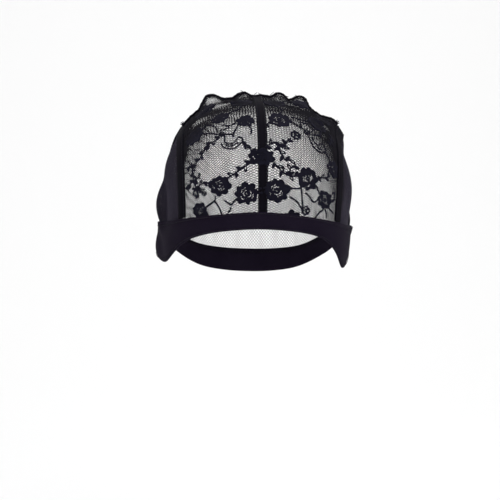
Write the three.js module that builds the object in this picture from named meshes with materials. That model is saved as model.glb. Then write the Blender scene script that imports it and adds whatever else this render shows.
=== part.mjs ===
// A stretch lace wig cap in the shape that it has when worn: a brow band with ear tabs, a nape
// band, two lace front panels, two dense net side panels, a plain net back panel, and the tapes
// that cover the seams between them. The lace is gathered over the crown, where it puffs up.
//
// Millimetres, +Z up. The wearer faces -Y and +X is the wearer's left. The origin is the middle
// of the cap's opening, level with the brow band's lower edge at the forehead.
import * as THREE from "three";

const DEG = Math.PI / 180;

// The form of the stretched cap, at the inner face of its panels, measured from the origin.
const FORM = {
  halfWidth: 72,
  front: 91,
  back: 97,
  crown: 88.5,
  sideDepth: 110, // how slowly the sides narrow below the origin
  napeDepth: 92, // how soon the back tucks in towards the nape
  ovalPower: 2.2, // squareness seen from above
  domePower: 2.65, // squareness seen from the front
  tuckFrom: 95, // azimuths, in degrees, between which the sides turn into the nape
  tuckTo: 165,
};

// The cloth. Panels lie on that form, and the tapes and bands are sewn on top of their edges.
const PANEL_THICKNESS = 1.0;
const TAPE_THICKNESS = 1.2;
const BAND_THICKNESS = 2.0;
const LAYER_GAP = 0.45; // between a panel and what is sewn over it
const BUTT_GAP = 0.4; // between two pieces that meet edge to edge
const SEAM_LAP = 4; // how far the panels run in under the bands

const CENTRE_TAPE_WIDTH = 6.5;
const SIDE_TAPE_WIDTH = 10;
const CROWN_TAPE_WIDTH = 7;
const CROWN_ANGLE = 93; // the crown seam, in degrees about X from straight ahead
const CENTRE_LEAN = -1.4; // degrees that the centre seam leans, to the right, at the crown
const BAND_JOINT = 101; // azimuth behind the ear where the two bands are joined

// The bands' edges, as heights by azimuth from straight ahead. The brow band dips to a rounded
// tab before each ear, is cut away over the ear, and the nape band drops behind it. The tab on
// the wearer's left sits a little further forward than the one on the right.
const BAND_EDGES = [
  { azimuth: 0, bottomRight: 0, bottomLeft: 0, top: 12.5 },
  { azimuth: 18, bottomRight: -3, bottomLeft: -2.5, top: 9.6 },
  { azimuth: 32, bottomRight: -9, bottomLeft: -9, top: 5.6 },
  { azimuth: 42, bottomRight: -16, bottomLeft: -19.5, top: 2.4 },
  { azimuth: 52, bottomRight: -25.5, bottomLeft: -32.5, top: -0.8 },
  { azimuth: 60, bottomRight: -32, bottomLeft: -35.5, top: -3 },
  { azimuth: 67, bottomRight: -35.5, bottomLeft: -33.5, top: -4.6 },
  { azimuth: 75, bottomRight: -36, bottomLeft: -30, top: -6 },
  { azimuth: 85, bottomRight: -33, bottomLeft: -25.5, top: -7.6 },
  { azimuth: 97, bottomRight: -24, bottomLeft: -23.5, top: -9.5 },
  { azimuth: 112, bottomRight: -26.5, bottomLeft: -26.5, top: -12.5 },
  { azimuth: 130, bottomRight: -40, bottomLeft: -40, top: -22 },
  { azimuth: 150, bottomRight: -55, bottomLeft: -55, top: -37 },
  { azimuth: 165, bottomRight: -60.5, bottomLeft: -60.5, top: -42.5 },
  { azimuth: 180, bottomRight: -62, bottomLeft: -62, top: -44 },
];

// The side seams, as the angle out from the mid plane by the angle about X.
const SIDE_SEAM = [
  { alpha: -10, beta: 44 },
  { alpha: 50, beta: 43.5 },
  { alpha: 80, beta: 43.8 },
  { alpha: 97, beta: 46 },
  { alpha: 112, beta: 52 },
  { alpha: 126, beta: 58.5 },
  { alpha: 145, beta: 62.5 },
  { alpha: 165, beta: 64 },
  { alpha: 200, beta: 64 },
  { alpha: 240, beta: 63.5 },
];

// Where the cloth stands off that form. Each puff has its middle (alpha about X, beta out from
// the mid plane, in degrees), its height, and its half sizes across and along the cap, ahead of
// its middle and behind it.
const PUFFS = [
  // gathers along the crown seam, from the wearer's right to the left
  { alpha: 93, beta: -23.5, height: 6.8, across: 13, ahead: 40, behind: 30 },
  { alpha: 93, beta: -7.5, height: 3.6, across: 10, ahead: 30, behind: 28 },
  { alpha: 93, beta: 1.5, height: 1.6, across: 11, ahead: 30, behind: 28 },
  { alpha: 93, beta: 10, height: 4.3, across: 9.5, ahead: 30, behind: 28 },
  { alpha: 93, beta: 20.5, height: 5.8, across: 11, ahead: 38, behind: 30 },
  { alpha: 93, beta: 40, height: 5.8, across: 14, ahead: 30, behind: 32 },
  { alpha: 93, beta: 47, height: 5.8, across: 16, ahead: 30, behind: 36 },
  // slack folds that lie across the lace below the seam
  { alpha: 74, beta: -20, height: 2.2, across: 26, ahead: 6, behind: 6 },
  { alpha: 66, beta: -33, height: 1.8, across: 16, ahead: 6, behind: 6 },
  { alpha: 76, beta: 18, height: 2.0, across: 24, ahead: 6, behind: 6 },
  { alpha: 66, beta: 32, height: 1.8, across: 18, ahead: 6, behind: 6 },
  // loose net at the sides, above the tight band
  { alpha: 20, beta: -76, height: 6.4, across: 16, ahead: 28, behind: 28 },
  { alpha: 50, beta: 66, height: 2.9, across: 30, ahead: 30, behind: 30 },
  { alpha: 70, beta: -62, height: 2.0, across: 22, ahead: 30, behind: 30 },
  // the tab on the wearer's right, which stands away at its end
  { alpha: -75, beta: -68, height: 4.0, across: 22, ahead: 22, behind: 22 },
];

const PUFF_BLEND = 2.5; // how sharply one puff gives way to the next

// Faces along and across each piece.
const MESH = {
  browBand: [66, 4],
  napeBand: [34, 3],
  frontLace: [26, 13],
  sidePanel: [36, 8],
  backPanel: [50, 11],
  centreTape: [20, 2],
  sideTape: [44, 2],
  crownTape: [52, 2],
};

const BACK_ROW_POWER = 1.6; // how much closer the back panel's faces are towards the crown

const mix = (a, b, t) => a + (b - a) * t;

function smoothStep(from, to, x) {
  const t = Math.min(1, Math.max(0, (x - from) / (to - from)));
  return t * t * (3 - 2 * t);
}

// A bump that is 1 in its middle and fades to 0, with no edge, at one half size away.
const bell = (t) => (Math.abs(t) < 1 ? Math.cos((t * Math.PI) / 2) ** 2 : 0);

// A table's column at x, as a smooth curve through its rows.
function tableCurve(rows, key, column, x) {
  const last = rows.length - 2;
  let i = 0;
  while (i < last && x > rows[i + 1][key]) i += 1;
  const slope = (k) => {
    const before = rows[Math.max(k - 1, 0)];
    const after = rows[Math.min(k + 1, rows.length - 1)];
    return (after[column] - before[column]) / (after[key] - before[key]);
  };
  const span = rows[i + 1][key] - rows[i][key];
  const t = (x - rows[i][key]) / span;
  const startsFlat = i === 0 && key === "azimuth";
  const endsFlat = i === last && key === "azimuth";
  const m0 = startsFlat ? 0 : slope(i) * span;
  const m1 = endsFlat ? 0 : slope(i + 1) * span;
  const a = rows[i][column];
  const b = rows[i + 1][column];
  return (
    a * (1 + 2 * t) * (1 - t) ** 2 +
    m0 * t * (1 - t) ** 2 +
    b * t * t * (3 - 2 * t) +
    m1 * t * t * (t - 1)
  );
}

const bandEdge = (azimuth, column) =>
  tableCurve(BAND_EDGES, "azimuth", column, Math.abs(azimuth) / DEG);

const bandTop = (azimuth) => bandEdge(azimuth, "top");

const bandBottom = (azimuth) =>
  bandEdge(azimuth, azimuth < 0 ? "bottomRight" : "bottomLeft");

const sideSeam = (alpha) =>
  tableCurve(SIDE_SEAM, "alpha", "beta", alpha / DEG) * DEG;

// The direction at angle alpha about X, from straight ahead over the crown, and angle beta out
// from the mid plane.
function direction(alpha, beta) {
  return new THREE.Vector3(
    Math.sin(beta),
    -Math.cos(beta) * Math.cos(alpha),
    Math.cos(beta) * Math.sin(alpha),
  );
}

const azimuthOf = (d) => Math.atan2(d.x, -d.y);

// The half height of the form: the crown above the origin, and below it a depth that
// makes the sides nearly upright and the nape tucked in.
function halfHeight(z, azimuth) {
  if (z >= 0) return FORM.crown;
  const tuck = smoothStep(FORM.tuckFrom, FORM.tuckTo, Math.abs(azimuth) / DEG);
  return mix(FORM.sideDepth, FORM.napeDepth, tuck);
}

function ovalShare(x, y) {
  const across = Math.abs(x) / FORM.halfWidth;
  const along = Math.abs(y) / (y < 0 ? FORM.front : FORM.back);
  const p = FORM.ovalPower;
  return (across ** p + along ** p) ** (1 / p);
}

function formRadius(d) {
  const q = FORM.domePower;
  const up = Math.abs(d.z) / halfHeight(d.z, azimuthOf(d));
  return (ovalShare(d.x, d.y) ** q + up ** q) ** (-1 / q);
}

// The direction of the form's point at an azimuth and a height.
function rimDirection(azimuth, z) {
  const q = FORM.domePower;
  const up = Math.abs(z) / halfHeight(z, azimuth);
  const x = Math.sin(azimuth);
  const y = -Math.cos(azimuth);
  const radius = (1 - up ** q) ** (1 / q) / ovalShare(x, y);
  return new THREE.Vector3(x * radius, y * radius, z).normalize();
}

const puffFrames = PUFFS.map((puff) => {
  const alpha = puff.alpha * DEG;
  const beta = puff.beta * DEG;
  const middle = direction(alpha, beta);
  return {
    ...puff,
    radius: formRadius(middle),
    middle,
    outward: new THREE.Vector3(
      Math.cos(beta),
      Math.sin(beta) * Math.cos(alpha),
      -Math.sin(beta) * Math.sin(alpha),
    ),
    onward: new THREE.Vector3(0, Math.sin(alpha), Math.cos(alpha)),
  };
});

// How far the cloth stands off the form in a direction. The puffs don't add up: nearly
// only the highest one there counts, so that each keeps its own shape.
function puffHeight(d) {
  let sum = 0;
  for (const puff of puffFrames) {
    const away = d.clone().sub(puff.middle).multiplyScalar(puff.radius);
    const across = away.dot(puff.outward) / puff.across;
    const along = away.dot(puff.onward);
    const share = along / (along < 0 ? puff.ahead : puff.behind);
    sum += (puff.height * bell(across) * bell(share)) ** PUFF_BLEND;
  }
  return sum ** (1 / PUFF_BLEND);
}

const formPoint = (d) => d.clone().multiplyScalar(formRadius(d));

const clothPoint = (d, offset) =>
  d.clone().multiplyScalar(formRadius(d) + puffHeight(d) + offset);

// The angle about X at which the line at angle beta meets the band's top edge, or a line that
// many millimetres above it. It lies between an angle below the band and one above it.
function bandAlpha(beta, above, belowBand, aboveBand) {
  let low = belowBand * DEG;
  let high = aboveBand * DEG;
  for (let i = 0; i < 40; i += 1) {
    const middle = (low + high) / 2;
    const point = formPoint(direction(middle, beta));
    const edge = bandTop(azimuthOf(point)) + above;
    if (point.z < edge) low = middle;
    else high = middle;
  }
  return (low + high) / 2;
}

const browAlpha = (beta, above) => bandAlpha(beta, above, -40, 70);
const napeAlpha = (beta, above) => bandAlpha(beta, above, 240, 110);

// A cloth wall over a patch of directions: its inner and outer faces and the edges that join
// them, as one closed geometry.
function clothWall([columns, rows], directionAt, inner, outer) {
  const positions = [];
  for (const offset of [inner, outer])
    for (let j = 0; j <= rows; j += 1)
      for (let i = 0; i <= columns; i += 1) {
        const point = clothPoint(directionAt(i / columns, j / rows), offset);
        positions.push(point.x, point.y, point.z);
      }
  const layer = (columns + 1) * (rows + 1);
  const at = (i, j, side) => side * layer + j * (columns + 1) + i;
  const faces = [];
  const quad = (a, b, c, d) => faces.push(a, b, c, a, c, d);
  for (let j = 0; j < rows; j += 1)
    for (let i = 0; i < columns; i += 1) {
      quad(at(i, j, 1), at(i + 1, j, 1), at(i + 1, j + 1, 1), at(i, j + 1, 1));
      quad(at(i, j, 0), at(i, j + 1, 0), at(i + 1, j + 1, 0), at(i + 1, j, 0));
    }
  for (let i = 0; i < columns; i += 1) {
    quad(at(i, 0, 0), at(i + 1, 0, 0), at(i + 1, 0, 1), at(i, 0, 1));
    quad(at(i + 1, rows, 0), at(i, rows, 0), at(i, rows, 1), at(i + 1, rows, 1));
  }
  for (let j = 0; j < rows; j += 1) {
    quad(at(0, j + 1, 0), at(0, j, 0), at(0, j, 1), at(0, j + 1, 1));
    quad(at(columns, j, 0), at(columns, j + 1, 0), at(columns, j + 1, 1), at(columns, j, 1));
  }
  const geometry = new THREE.BufferGeometry();
  geometry.setAttribute("position", new THREE.Float32BufferAttribute(positions, 3));
  geometry.setIndex(facesOutward(positions, faces));
  geometry.computeVertexNormals();
  return geometry;
}

// The faces of a closed mesh, turned round if they enclose a negative volume.
function facesOutward(positions, faces) {
  const corner = (i) => new THREE.Vector3().fromArray(positions, faces[i] * 3);
  let volume = 0;
  for (let i = 0; i < faces.length; i += 3)
    volume += corner(i).dot(corner(i + 1).cross(corner(i + 2)));
  return volume > 0 ? faces : faces.reverse();
}

const TAPE_INNER = PANEL_THICKNESS + LAYER_GAP;
const panelWall = (mesh, at) => clothWall(mesh, at, 0, PANEL_THICKNESS);
const tapeWall = (mesh, at) =>
  clothWall(mesh, at, TAPE_INNER, TAPE_INNER + TAPE_THICKNESS);
const bandWall = (mesh, at) =>
  clothWall(mesh, at, TAPE_INNER, TAPE_INNER + BAND_THICKNESS);

const radians = (length, radius) => length / radius;
const halfButt = radians(BUTT_GAP / 2, FORM.crown);
const crownSeam = CROWN_ANGLE * DEG;
const crownTapeHalf = radians(CROWN_TAPE_WIDTH / 2, FORM.crown);
const sideTapeHalf = radians(SIDE_TAPE_WIDTH / 2, FORM.crown);

// The centre seam runs up from the middle of the brow and leans a little towards the crown.
const centreSeam = (alpha) => mix(0, CENTRE_LEAN * DEG, alpha / crownSeam);

// The stretch band across the brow, from ear to ear, with its tabs.
function browBand() {
  return bandWall(MESH.browBand, (u, v) => {
    const azimuth = mix(-BAND_JOINT, BAND_JOINT, u) * DEG;
    return rimDirection(azimuth, mix(bandBottom(azimuth), bandTop(azimuth), v));
  });
}

// The band round the nape, whose ends meet the brow band's behind the ears.
function napeBand() {
  const joint = BAND_JOINT + radians(BUTT_GAP, FORM.halfWidth) / DEG;
  return bandWall(MESH.napeBand, (u, v) => {
    const turn = mix(joint, 360 - joint, u);
    const azimuth = (turn > 180 ? turn - 360 : turn) * DEG;
    return rimDirection(azimuth, mix(bandBottom(azimuth), bandTop(azimuth), v));
  });
}

// One half of the lace front, from the centre seam out to the side seam (side is -1 or 1), and
// from under the brow band up to the crown seam.
function frontLace(side) {
  return panelWall(MESH.frontLace, (u, v) => {
    const seamFront = sideSeam(0) - halfButt;
    const front = browAlpha(side * mix(halfButt, seamFront, u), -SEAM_LAP);
    const alpha = mix(front, crownSeam - halfButt, v);
    const inner = centreSeam(alpha) + side * halfButt;
    const outer = side * (sideSeam(alpha) - halfButt);
    return direction(alpha, mix(inner, outer, u));
  });
}

// The net over the back, from the crown seam down to under the nape band. Its rows lie closer at
// the crown, where it is gathered.
function backPanel() {
  return panelWall(MESH.backPanel, (u, v) => {
    const seamNape = sideSeam(200 * DEG) - halfButt;
    const nape = napeAlpha(mix(-seamNape, seamNape, u), -SEAM_LAP);
    const alpha = mix(crownSeam + halfButt, nape, v ** BACK_ROW_POWER);
    const edge = sideSeam(alpha) - halfButt;
    return direction(alpha, mix(-edge, edge, u));
  });
}

// The dense net over one ear, from under the bands up to the side seam.
function sidePanel(side) {
  const seamAt = (u, above) => {
    const front = browAlpha(sideSeam(0), above);
    const nape = napeAlpha(sideSeam(200 * DEG), above);
    const alpha = mix(front, nape, u);
    return direction(alpha, sideSeam(alpha) + halfButt);
  };
  const azimuthFront = azimuthOf(seamAt(0, -SEAM_LAP));
  const azimuthNape = azimuthOf(seamAt(1, -SEAM_LAP));
  return panelWall(MESH.sidePanel, (u, v) => {
    const azimuth = mix(azimuthFront, azimuthNape, u);
    const lowEdge = bandTop(azimuth) - SEAM_LAP;
    const low = formPoint(rimDirection(azimuth, lowEdge));
    const point = low.lerp(formPoint(seamAt(u, 0)), v).normalize();
    point.x *= side;
    return point;
  });
}

// The tape down the middle of the lace front, from the brow band to the crown seam.
function centreTape() {
  const halfWidth = radians(CENTRE_TAPE_WIDTH / 2, FORM.crown);
  return tapeWall(MESH.centreTape, (u, v) => {
    const aside = mix(-halfWidth, halfWidth, v);
    const front = browAlpha(aside, BUTT_GAP);
    const alpha = mix(front, crownSeam - crownTapeHalf - 2 * halfButt, u);
    return direction(alpha, centreSeam(alpha) + aside);
  });
}

// The tape along one side seam, from the brow band over the top to the nape band.
function sideTape(side) {
  return tapeWall(MESH.sideTape, (u, v) => {
    const aside = mix(-sideTapeHalf, sideTapeHalf, v);
    const front = browAlpha(sideSeam(0) + aside, BUTT_GAP);
    const nape = napeAlpha(sideSeam(200 * DEG) + aside, BUTT_GAP);
    const alpha = mix(front, nape, u);
    return direction(alpha, side * (sideSeam(alpha) + aside));
  });
}

// The tape that draws up the gathers over the crown, from one side tape to the other.
function crownTape() {
  return tapeWall(MESH.crownTape, (u, v) => {
    const alpha = crownSeam + mix(-crownTapeHalf, crownTapeHalf, v);
    const end = sideSeam(alpha) - sideTapeHalf - 2 * halfButt;
    return direction(alpha, mix(-end, end, u));
  });
}

const cloth = (color, roughness) =>
  new THREE.MeshStandardMaterial({ color, roughness, metalness: 0 });

const laceCloth = cloth(0x1c1a22, 0.85);
const denseNet = cloth(0x16151b, 0.8);
const plainNet = cloth(0x24222a, 0.85);
const tapeCloth = cloth(0x101014, 0.75);
const bandCloth = cloth(0x15131c, 0.7);

function piece(name, geometry, material) {
  const mesh = new THREE.Mesh(geometry, material);
  mesh.name = name;
  return mesh;
}

const wigCap = new THREE.Group();
wigCap.add(
  piece("brow_band", browBand(), bandCloth),
  piece("nape_band", napeBand(), bandCloth),
  piece("centre_tape", centreTape(), tapeCloth),
  piece("crown_tape", crownTape(), tapeCloth),
  piece("back_panel", backPanel(), plainNet),
);
for (const [name, side] of [["right", -1], ["left", 1]])
  wigCap.add(
    piece("front_lace_" + name, frontLace(side), laceCloth),
    piece("side_panel_" + name, sidePanel(side), denseNet),
    piece("side_tape_" + name, sideTape(side), tapeCloth),
  );

export default wigCap;
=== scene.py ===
import math

import bpy
import numpy as np
from mathutils import Matrix


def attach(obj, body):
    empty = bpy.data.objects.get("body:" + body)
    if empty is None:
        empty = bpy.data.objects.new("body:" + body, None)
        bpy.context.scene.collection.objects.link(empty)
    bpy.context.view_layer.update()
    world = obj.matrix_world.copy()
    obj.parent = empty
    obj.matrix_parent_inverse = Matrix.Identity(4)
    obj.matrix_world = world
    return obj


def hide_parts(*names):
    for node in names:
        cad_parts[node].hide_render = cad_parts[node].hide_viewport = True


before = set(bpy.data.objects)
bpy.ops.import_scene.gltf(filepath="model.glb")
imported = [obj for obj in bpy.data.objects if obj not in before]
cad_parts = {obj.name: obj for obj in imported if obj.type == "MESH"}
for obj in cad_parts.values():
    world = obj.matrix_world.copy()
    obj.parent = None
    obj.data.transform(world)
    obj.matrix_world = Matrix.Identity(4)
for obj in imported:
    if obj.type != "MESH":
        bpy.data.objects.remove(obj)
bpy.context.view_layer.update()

# THE LACE FRONT
# Two halves of black floral lace are stretched over the brow and drawn up into the crown seam.
# Each half is a fine knitted net with flowers, leaves and stems worked on it in thicker yarn.

# The form of the stretched cap, at the inner face of its panels, in millimetres from the
# row's origin.
FORM_HALF_WIDTH = 72.0
FORM_FRONT = 91.0
FORM_BACK = 97.0
FORM_CROWN = 88.5
FORM_SIDE_DEPTH = 110.0
FORM_NAPE_DEPTH = 92.0
FORM_OVAL_POWER = 2.2
FORM_DOME_POWER = 2.65
NAPE_TUCK = (95.0, 165.0)

PANEL_THICKNESS = 1.0
LAYER_GAP = 0.45
BUTT_GAP = 0.4
SEAM_LAP = 4.0
CROWN_SEAM = math.radians(93.0)
CENTRE_LEAN = math.radians(-1.4)
HALF_BUTT = BUTT_GAP / 2 / FORM_CROWN

# azimuth in degrees, lower edge on the wearer's right and left, top edge
BAND_EDGES = np.array([
    (0, 0, 0, 12.5),
    (18, -3, -2.5, 9.6),
    (32, -9, -9, 5.6),
    (42, -16, -19.5, 2.4),
    (52, -25.5, -32.5, -0.8),
    (60, -32, -35.5, -3),
    (67, -35.5, -33.5, -4.6),
    (75, -36, -30, -6),
    (85, -33, -25.5, -7.6),
    (97, -24, -23.5, -9.5),
    (112, -26.5, -26.5, -12.5),
    (130, -40, -40, -22),
    (150, -55, -55, -37),
    (165, -60.5, -60.5, -42.5),
    (180, -62, -62, -44),
])
EDGE_RIGHT, EDGE_LEFT, EDGE_TOP = 1, 2, 3

# angle about X, angle of the side seam out from the mid plane, in degrees
SIDE_SEAM = np.array([
    (-10, 44),
    (50, 43.5),
    (80, 43.8),
    (97, 46),
    (112, 52),
    (126, 58.5),
    (145, 62.5),
    (165, 64),
    (200, 64),
    (240, 63.5),
])

# where the cloth stands off that form: alpha and beta in degrees, then height, half width
# across, and half length ahead and behind, in millimetres
PUFFS = [
    (93, -23.5, 6.8, 13, 40, 30),
    (93, -7.5, 3.6, 10, 30, 28),
    (93, 1.5, 1.6, 11, 30, 28),
    (93, 10, 4.3, 9.5, 30, 28),
    (93, 20.5, 5.8, 11, 38, 30),
    (93, 40, 5.8, 14, 30, 32),
    (93, 47, 5.8, 16, 30, 36),
    (74, -20, 2.2, 26, 6, 6),
    (66, -33, 1.8, 16, 6, 6),
    (76, 18, 2.0, 24, 6, 6),
    (66, 32, 1.8, 18, 6, 6),
    (20, -76, 6.4, 16, 28, 28),
    (50, 66, 2.9, 30, 30, 30),
    (70, -62, 2.0, 22, 30, 30),
    (-75, -68, 4.0, 22, 22, 22),
]
PUFF_BLEND = 2.5

# the small folds that the crown tape draws up, shallow at the tape and deeper a little off it
FOLD_HEIGHT = 1.1
FOLD_PITCH = 6.4
FOLD_REACH = 11.0
# how far the net's threads are drawn together along the folds, and how far off the seam; and
# how far they waver from side to side below them, how often, and how far off the seam
GATHER_DRAW, GATHER_REACH = 0.8, 20.0
WAVER, WAVER_PITCH, WAVER_REACH = 0.9, 6.5, 46.0


def between(a, b, t):
    return a + (b - a) * t


def table_curve(table, column, x, flat_ends=False):
    """A table's column at x, as a smooth curve through its rows."""
    x = np.asarray(x, float)
    at, value = table[:, 0].astype(float), table[:, column].astype(float)
    slope = np.gradient(value) / np.gradient(at)
    if flat_ends:
        slope[0] = slope[-1] = 0.0
    i = np.clip(np.searchsorted(at, x) - 1, 0, len(at) - 2)
    span = at[i + 1] - at[i]
    t = (x - at[i]) / span
    start = value[i] * (1 + 2 * t) + slope[i] * span * t
    end = value[i + 1] * (3 - 2 * t) + slope[i + 1] * span * (t - 1)
    return start * (1 - t) ** 2 + end * t**2


def band_top(azimuth):
    return table_curve(BAND_EDGES, EDGE_TOP, np.degrees(np.abs(azimuth)), True)


def band_bottom(azimuth):
    degrees = np.degrees(np.abs(azimuth))
    right = table_curve(BAND_EDGES, EDGE_RIGHT, degrees, True)
    left = table_curve(BAND_EDGES, EDGE_LEFT, degrees, True)
    return np.where(np.asarray(azimuth) < 0, right, left)


def side_seam(alpha):
    return np.radians(table_curve(SIDE_SEAM, 1, np.degrees(alpha)))


def centre_seam(alpha):
    return CENTRE_LEAN * alpha / CROWN_SEAM


def heading(alpha, beta):
    """Unit directions at alpha about X, from straight ahead, and beta out from the mid plane."""
    alpha, beta = np.broadcast_arrays(alpha, beta)
    level = np.cos(beta)
    return np.stack([np.sin(beta), -level * np.cos(alpha), level * np.sin(alpha)], -1)


def azimuth_of(d):
    return np.arctan2(d[..., 0], -d[..., 1])


def half_height(z, azimuth):
    low, high = NAPE_TUCK
    t = np.clip((np.degrees(np.abs(azimuth)) - low) / (high - low), 0, 1)
    below = between(FORM_SIDE_DEPTH, FORM_NAPE_DEPTH, t * t * (3 - 2 * t))
    return np.where(np.asarray(z) >= 0, FORM_CROWN, below)


def oval_share(x, y):
    along = np.abs(y) / np.where(y < 0, FORM_FRONT, FORM_BACK)
    across = np.abs(x) / FORM_HALF_WIDTH
    return (across**FORM_OVAL_POWER + along**FORM_OVAL_POWER) ** (1 / FORM_OVAL_POWER)


def form_radius(d):
    up = np.abs(d[..., 2]) / half_height(d[..., 2], azimuth_of(d))
    level = oval_share(d[..., 0], d[..., 1])
    return (level**FORM_DOME_POWER + up**FORM_DOME_POWER) ** (-1 / FORM_DOME_POWER)


def rim_heading(azimuth, z):
    """The direction of the form's point at an azimuth and a height."""
    up = np.abs(z) / half_height(z, azimuth)
    x, y = np.sin(azimuth), -np.cos(azimuth)
    radius = (1 - up**FORM_DOME_POWER) ** (1 / FORM_DOME_POWER) / oval_share(x, y)
    point = np.stack(np.broadcast_arrays(x * radius, y * radius, z), -1)
    return point / np.linalg.norm(point, axis=-1, keepdims=True)


def bell(t):
    return np.cos(np.clip(t, -1, 1) * math.pi / 2) ** 2


def fold_phase(across):
    return across * 2 * math.pi / FOLD_PITCH + 1.6 * np.sin(across / 8)


def stand_off(d):
    """How far the cloth stands off the form: its puffs, and the folds at the crown."""
    total = np.zeros(d.shape[:-1])
    for alpha, beta, height, across, ahead, behind in PUFFS:
        a, b = math.radians(alpha), math.radians(beta)
        middle = heading(a, b)
        away = (d - middle) * form_radius(middle)
        outward = (math.cos(b), math.sin(b) * math.cos(a), -math.sin(b) * math.sin(a))
        along = away @ np.array((0, math.sin(a), math.cos(a)))
        share = along / np.where(along < 0, ahead, behind)
        total += (height * bell(away @ np.array(outward) / across) * bell(share)) ** PUFF_BLEND
    beta = np.arcsin(np.clip(d[..., 0], -1, 1))
    across = beta * FORM_CROWN
    off_seam = np.abs(np.arctan2(d[..., 2], -d[..., 1]) - CROWN_SEAM) * FORM_CROWN / FOLD_REACH
    wave = np.sin(fold_phase(across))
    inside = np.clip((side_seam(CROWN_SEAM) - np.abs(beta)) * FORM_CROWN / 8 - 1, 0, 1)
    fold = FOLD_HEIGHT * wave * inside * (0.12 + off_seam**2) * np.exp(-(off_seam**2))
    return total ** (1 / PUFF_BLEND) + fold


def form_point(d):
    return d * form_radius(d)[..., None]


def cloth(d, lift):
    """Points of the cloth in these directions, lifted that far off its inner face."""
    return d * (form_radius(d) + stand_off(d) + lift)[..., None]


def gathered(d):
    """Directions drawn together along the folds near the crown seam, as the net's threads are."""
    alpha = np.arctan2(d[..., 2], -d[..., 1])
    beta = np.arcsin(np.clip(d[..., 0], -1, 1))
    across, off_seam = beta * FORM_CROWN, (alpha - CROWN_SEAM) * FORM_CROWN
    drawn = GATHER_DRAW * np.cos(fold_phase(across)) * np.exp(-((off_seam / GATHER_REACH) ** 2))
    sway = np.sin(off_seam * 2 * math.pi / WAVER_PITCH + across / 5)
    sway *= WAVER * np.exp(-((off_seam / WAVER_REACH) ** 2)) * np.cos(beta) ** 4
    return heading(alpha, beta + (drawn + sway) / FORM_CROWN)


def band_alpha(beta, above, below_band, above_band):
    """The angle about X at which a line at angle beta is that far above the band's top."""
    beta = np.asarray(beta, float)
    low, high = np.full(beta.shape, below_band), np.full(beta.shape, above_band)
    for _ in range(40):
        middle = (low + high) / 2
        point = form_point(heading(middle, beta))
        under = point[..., 2] < band_top(azimuth_of(point)) + above
        low, high = np.where(under, middle, low), np.where(under, high, middle)
    return (low + high) / 2


def brow_alpha(beta, above):
    return band_alpha(beta, above, math.radians(-40), math.radians(70))


def lace_half(side):
    """Directions over one half of the lace front: u from the centre seam out, v upwards."""
    seam_front = side_seam(0.0) - HALF_BUTT

    def at(u, v):
        front = brow_alpha(side * between(HALF_BUTT, seam_front, u), -SEAM_LAP)
        alpha = between(front, CROWN_SEAM - HALF_BUTT, v)
        inner = centre_seam(alpha) + side * HALF_BUTT
        outer = side * (side_seam(alpha) - HALF_BUTT)
        return heading(alpha, between(inner, outer, u))

    return at


def unit(v):
    return v / np.maximum(np.linalg.norm(v, axis=-1, keepdims=True), 1e-12)


def closed_tubes(paths, outward, radius, sides=3, flat=1.0):
    """Closed tubes along many paths at once. paths and outward are (paths, points, 3), and
    flat is the tube's height as a share of its width."""
    ahead = unit(np.gradient(paths, axis=1))
    across = unit(np.cross(ahead, outward))
    up = np.cross(across, ahead)
    turn = (np.arange(sides) + 0.5) * 2 * math.pi / sides + math.pi / 2
    wide = np.asarray(radius, float)[..., None, None] * np.cos(turn)[:, None]
    tall = np.asarray(radius, float)[..., None, None] * flat * np.sin(turn)[:, None]
    rings = paths[:, :, None] + wide * across[:, :, None] + tall * up[:, :, None]
    count, steps = paths.shape[:2]
    index = np.arange(count * steps * sides).reshape(count, steps, sides)
    near, far = index[:, :-1], index[:, 1:]
    walls = np.stack([near, far, np.roll(far, -1, 2), np.roll(near, -1, 2)], -1)
    first, last = index[:, 0], index[:, -1, ::-1]
    fans = [
        np.stack([end[:, 0], end[:, k], end[:, k + 1]], -1)
        for end in (first, last)
        for k in range(1, sides - 1)
    ]
    return rings.reshape(-1, 3), walls.reshape(-1, 4), np.concatenate(fans)


def cell_slab(top, bottom, filled, wraps=False):
    """A thin closed slab made of the filled cells of a grid of points, with walls round them and
    all its faces turned outwards."""
    rows, columns = filled.shape
    width = top.shape[1]
    index = np.arange(top.shape[0] * width).reshape(-1, width)
    right = np.roll(index, -1, 1) if wraps else index[:, 1:]
    left = index if wraps else index[:, :-1]
    a, b, c, d = left[:-1], left[1:], right[1:], right[:-1]
    layer = top.shape[0] * width
    upper = np.stack([a, b, c, d], -1)[filled]
    faces = [upper, upper[:, ::-1] + layer]
    padded = np.zeros((rows + 2, columns + 2), bool)
    padded[1:-1, 1:-1] = filled
    if wraps:
        padded[1:-1, 0], padded[1:-1, -1] = filled[:, -1], filled[:, 0]
    neighbours = (
        (padded[:-2, 1:-1], d, a),
        (padded[2:, 1:-1], b, c),
        (padded[1:-1, :-2], a, b),
        (padded[1:-1, 2:], c, d),
    )
    for beside, start, end in neighbours:
        edge = filled & ~beside
        s, e = start[edge], end[edge]
        faces.append(np.stack([e, s, s + layer, e + layer], -1))
    faces = np.concatenate(faces)
    used, compact = np.unique(faces, return_inverse=True)
    points = np.concatenate([top.reshape(-1, 3), bottom.reshape(-1, 3)])[used]
    faces = compact.reshape(faces.shape)
    p, q, r, s = (points[faces[:, k]] for k in range(4))
    inside_out = np.sum(p * np.cross(q - s, r)) < 0
    return points, faces[:, ::-1] if inside_out else faces


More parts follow.
